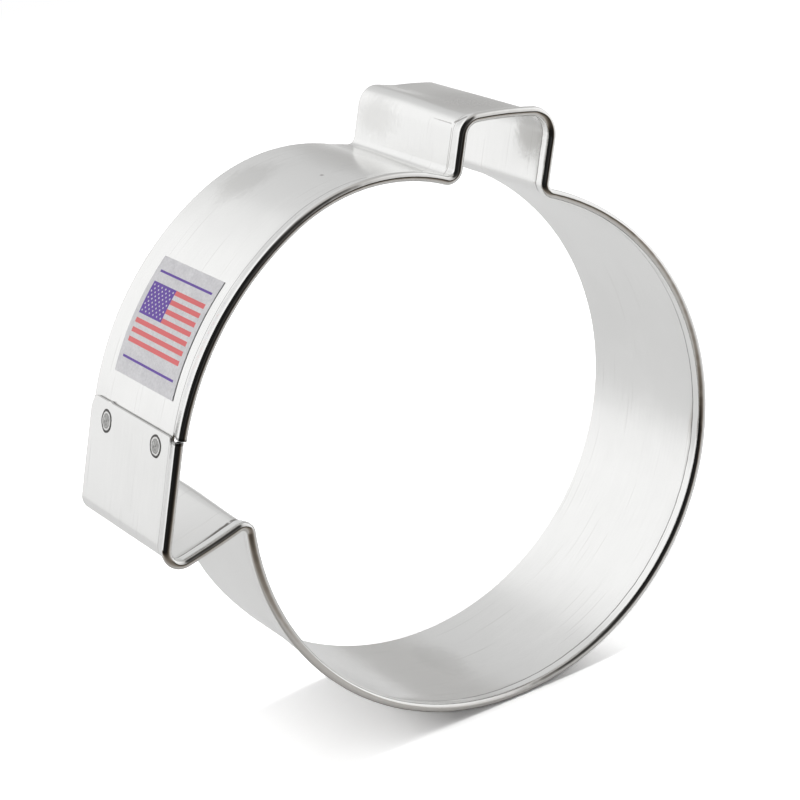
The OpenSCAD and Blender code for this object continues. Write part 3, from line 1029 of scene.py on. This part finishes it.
def paper_material():
    """White paper with the shadow. In reflections it has painted shade near the cutter, and ahead of it a
    painted reflection of the dark room.
    """
    mat, t = new_material("paper_floor")
    geometry = t.add("ShaderNodeNewGeometry").outputs
    ray = t.add("ShaderNodeLightPath").outputs
    place = t.vector("SUBTRACT", geometry["Position"], tuple(at_floor(0, MID_DEPTH)))
    reach = t.number("LENGTH", place)
    reach_share = t.math("DIVIDE", reach, RAMP_SPAN)
    ahead = t.number("DOT_PRODUCT", place, tuple(FRONT))
    leftward = t.number("DOT_PRODUCT", place, tuple(-RIGHT))
    beyond = t.math("MAXIMUM", t.minus(leftward, EDGE_LEFT), 0.0)
    past = t.math("MULTIPLY_ADD", t.math("MINIMUM", beyond, EDGE_STRETCH), EDGE_SLANT, ahead)
    # Painted shade: the paper as the metal sees it is darker near the cutter
    near_shade_tone = t.tones(
        reach_share, [(0.03, 0.62), (0.16, 0.62), (0.36, 0.7), (0.56, 0.83), (0.9, 0.89)]
    )
    # Painted reflection: the dark room ahead, painted on the paper only as the metal sees it
    room_dark_reflection = t.tones(
        t.math("DIVIDE", past, RAMP_SPAN),
        [
            (0.0, 1.0),
            (0.012, 0.8, 0.04),
            (0.035, 0.7, 0.07),
            (0.095, 0.64, 0.08),
            (0.12, 0.4, 0.2),
            (0.16, 0.24, 0.28),
            (0.21, 0.12, 0.32),
            (0.28, 0.05, 0.34),
            (0.45, 0.012, 0.2),
        ],
    )
    # The paper's tone in reflections: painted shade near the cutter times the painted dark of the room
    # ahead
    tone = t.mix(1.0, near_shade_tone, room_dark_reflection, "MULTIPLY")
    in_metal = t.mirrored(ray)
    diffuse = t.add("ShaderNodeBsdfDiffuse", {"Color": t.mix(in_metal, PAPER_TONE, tone)}).outputs[0]
    # Reflections: lit paper near the cutter, and further off the paper glows in its painted tone instead
    # of being lit
    far = t.times(t.tones(reach_share, [(0.15, 0), (0.5, 1)]), in_metal)
    reflected = t.blend(far, diffuse, t.light("ShaderNodeEmission", tone, 1.0))
    # Camera: where the lamps' light thins out the paper stays as pale as the background
    glow = t.light("ShaderNodeEmission", WHITE, PAPER_GLOW)
    lit = t.add("ShaderNodeAddShader", {0: diffuse, 1: glow}).outputs[0]
    lit = t.blend(ray["Is Camera Ray"], reflected, lit)
    away = t.times(t.tones(reach, [(0.18, 0), (0.5, 1)]), ray["Is Camera Ray"])
    shown = t.blend(away, lit, t.light("ShaderNodeEmission", WHITE, 1.0))
    clear = t.add("ShaderNodeBsdfTransparent").outputs[0]
    t.end(t.blend(geometry["Backfacing"], shown, clear))
    return mat


# Floor
floor_mesh = bpy.data.meshes.new("floor")
corners = [at_floor(a * FLOOR_HALF, b * FLOOR_HALF) for a, b in ((-1, -1), (1, -1), (1, 1), (-1, 1))]
floor_mesh.from_pydata(corners, [], [(0, 1, 2, 3)])
floor_mesh.update()
if floor_mesh.polygons[0].normal.dot(FLOOR_UP) < 0:
    floor_mesh.flip_normals()
floor = bpy.data.objects.new("floor", floor_mesh)
scene.collection.objects.link(floor)
floor.data.materials.append(paper_material())

# The studio's tones. The walls go from the left to the right, and the room round the compass, where
# 0.5 is towards the camera: dark there and to its left, and paler to the right.
WALL_TONES = [
    (0.16, 1.0),
    (0.24, 0.87),
    (0.29, 0.72),
    (0.35, 0.68),
    (0.45, 0.63),
    (0.5, 0.5, 0.02),
    (0.65, 0.5, 0.02),
    (0.78, 0.95),
]
ROOM_TONES = [
    (0.24, 1.0),
    (0.266, 0.95),
    (0.278, 0.5),
    (0.29, 0.05, 0.06),
    (0.31, 0.012),
    (0.49, 0.015),
    (0.515, 0.04),
    (0.54, 0.06, 0.1),
    (0.605, 0.05, 0.1),
    (0.635, 0.22, 0.08),
    (0.662, 0.68, 0.03),
    (0.722, 0.88, 0.03),
    (0.778, 1.0),
]
OVERHEAD_TONES = [(0.885, 0.0), (0.935, 0.15), (0.97, 0.5), (0.99, 1.0)]
CEILING = (*grey(0.52, 0.06), 1)
LOW_WALL = (0.95, 0.95, 0.95, 1)
SOFT_LIGHT = 0.3


def studio_world():
    """White to the camera, a plain soft light on the object, and a studio for the metal to mirror."""
    world = bpy.data.worlds.new("studio")
    world.use_nodes = True
    t = Nodes(world.node_tree)
    direction = t.add("ShaderNodeTexCoord").outputs["Generated"]
    right, front, up = (t.number("DOT_PRODUCT", direction, tuple(a)) for a in (RIGHT, FRONT, UP))
    across_share = t.math("MULTIPLY_ADD", right, 0.5, 0.5)
    height_share = t.math("MULTIPLY_ADD", up, 0.5, 0.5)
    compass = t.math("MULTIPLY_ADD", t.math("ARCTAN2", right, front), 0.5 / math.pi, 0.5)
    low = t.tones(height_share, [(0.5, 1), (0.56, 0)])
    walls = t.mix(t.times(low, 0.6), t.tones(across_share, WALL_TONES), LOW_WALL)
    studio = t.mix(1.0, walls, t.tones(compass, ROOM_TONES), "MULTIPLY")
    studio = t.mix(t.tones(height_share, OVERHEAD_TONES), studio, CEILING)
    ray = t.add("ShaderNodeLightPath").outputs
    soft = t.light("ShaderNodeBackground", WHITE, SOFT_LIGHT)
    mirror = t.light("ShaderNodeBackground", studio, 1.0)
    plain = t.light("ShaderNodeBackground", WHITE, 1.0)
    unseen = t.blend(t.mirrored(ray), soft, mirror)
    t.end(t.blend(ray["Is Camera Ray"], unseen, plain), "ShaderNodeOutputWorld")
    return world


scene.world = studio_world()

# Lamps: a softbox on each side, at the middle of the cutter's depth. Sizes are in metres.
LAMP_AWAY = 1.0
LAMP_W = 0.3
LAMP_H = 0.6


def softbox(name, across, turn, elevation, watts):
    """Soft lamp to one side of the cutter. turn moves it towards the rolled edge's side."""
    data = bpy.data.lights.new(name, "AREA")
    data.shape = "RECTANGLE"
    data.size = LAMP_W
    data.size_y = LAMP_H
    data.energy = watts
    lamp = bpy.data.objects.new(name, data)
    # The metal mirrors the studio's walls instead of the lamp
    lamp.visible_glossy = False
    scene.collection.objects.link(lamp)
    level = ACROSS * across * cosd(turn) + Vector((0, 0, sind(turn)))
    back = (level * cosd(elevation) + FLOOR_UP * sind(elevation)).normalized()
    side = FLOOR_UP.cross(back).normalized()
    lamp.matrix_world = axes_at(side, back.cross(side), back, at_floor(0, MID_DEPTH) + back * LAMP_AWAY)


softbox("left_softbox", across=-1, turn=4, elevation=48, watts=6.2)
softbox("right_softbox", across=1, turn=-4, elevation=38, watts=6.4)

scene.view_settings.view_transform = "Standard"
